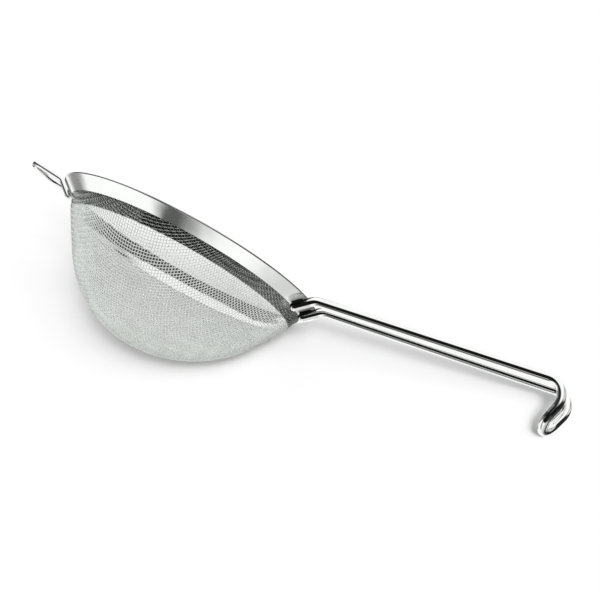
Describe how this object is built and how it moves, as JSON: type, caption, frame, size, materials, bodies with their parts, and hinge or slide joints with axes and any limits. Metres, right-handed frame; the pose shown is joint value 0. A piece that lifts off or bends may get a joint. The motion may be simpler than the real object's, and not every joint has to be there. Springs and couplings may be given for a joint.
{
  "type": "tea strainer",
  "caption": "Tea strainer with a woven wire bowl clamped in a flared metal rim, a bent wire handle ending in a hook, and a small wire rest loop opposite.",
  "frame": {"origin": "centre of the rim's opening, in the plane of the rim's top edge", "axes": "+Z out of the opening along the bowl's axis, +X towards the handle's hook, rest loop on the -X side"},
  "size_m": [0.1735, 0.08, 0.04],
  "materials": {
    "rim_steel": "bright rolled stainless sheet",
    "mesh_steel": "drawn stainless wire cloth",
    "wire_steel": "electropolished stainless wire",
    "weld_steel": "spot-weld metal, slightly dull"
  },
  "bodies": {
    "root": {"rim_outer_band": "rim_steel", "rim_inner_band": "rim_steel", "mesh_basket": "mesh_steel", "handle_wire": "wire_steel", "rest_loop_wire": "wire_steel", "handle_welds": "weld_steel", "rest_loop_welds": "weld_steel"}
  },
  "joints": []
}
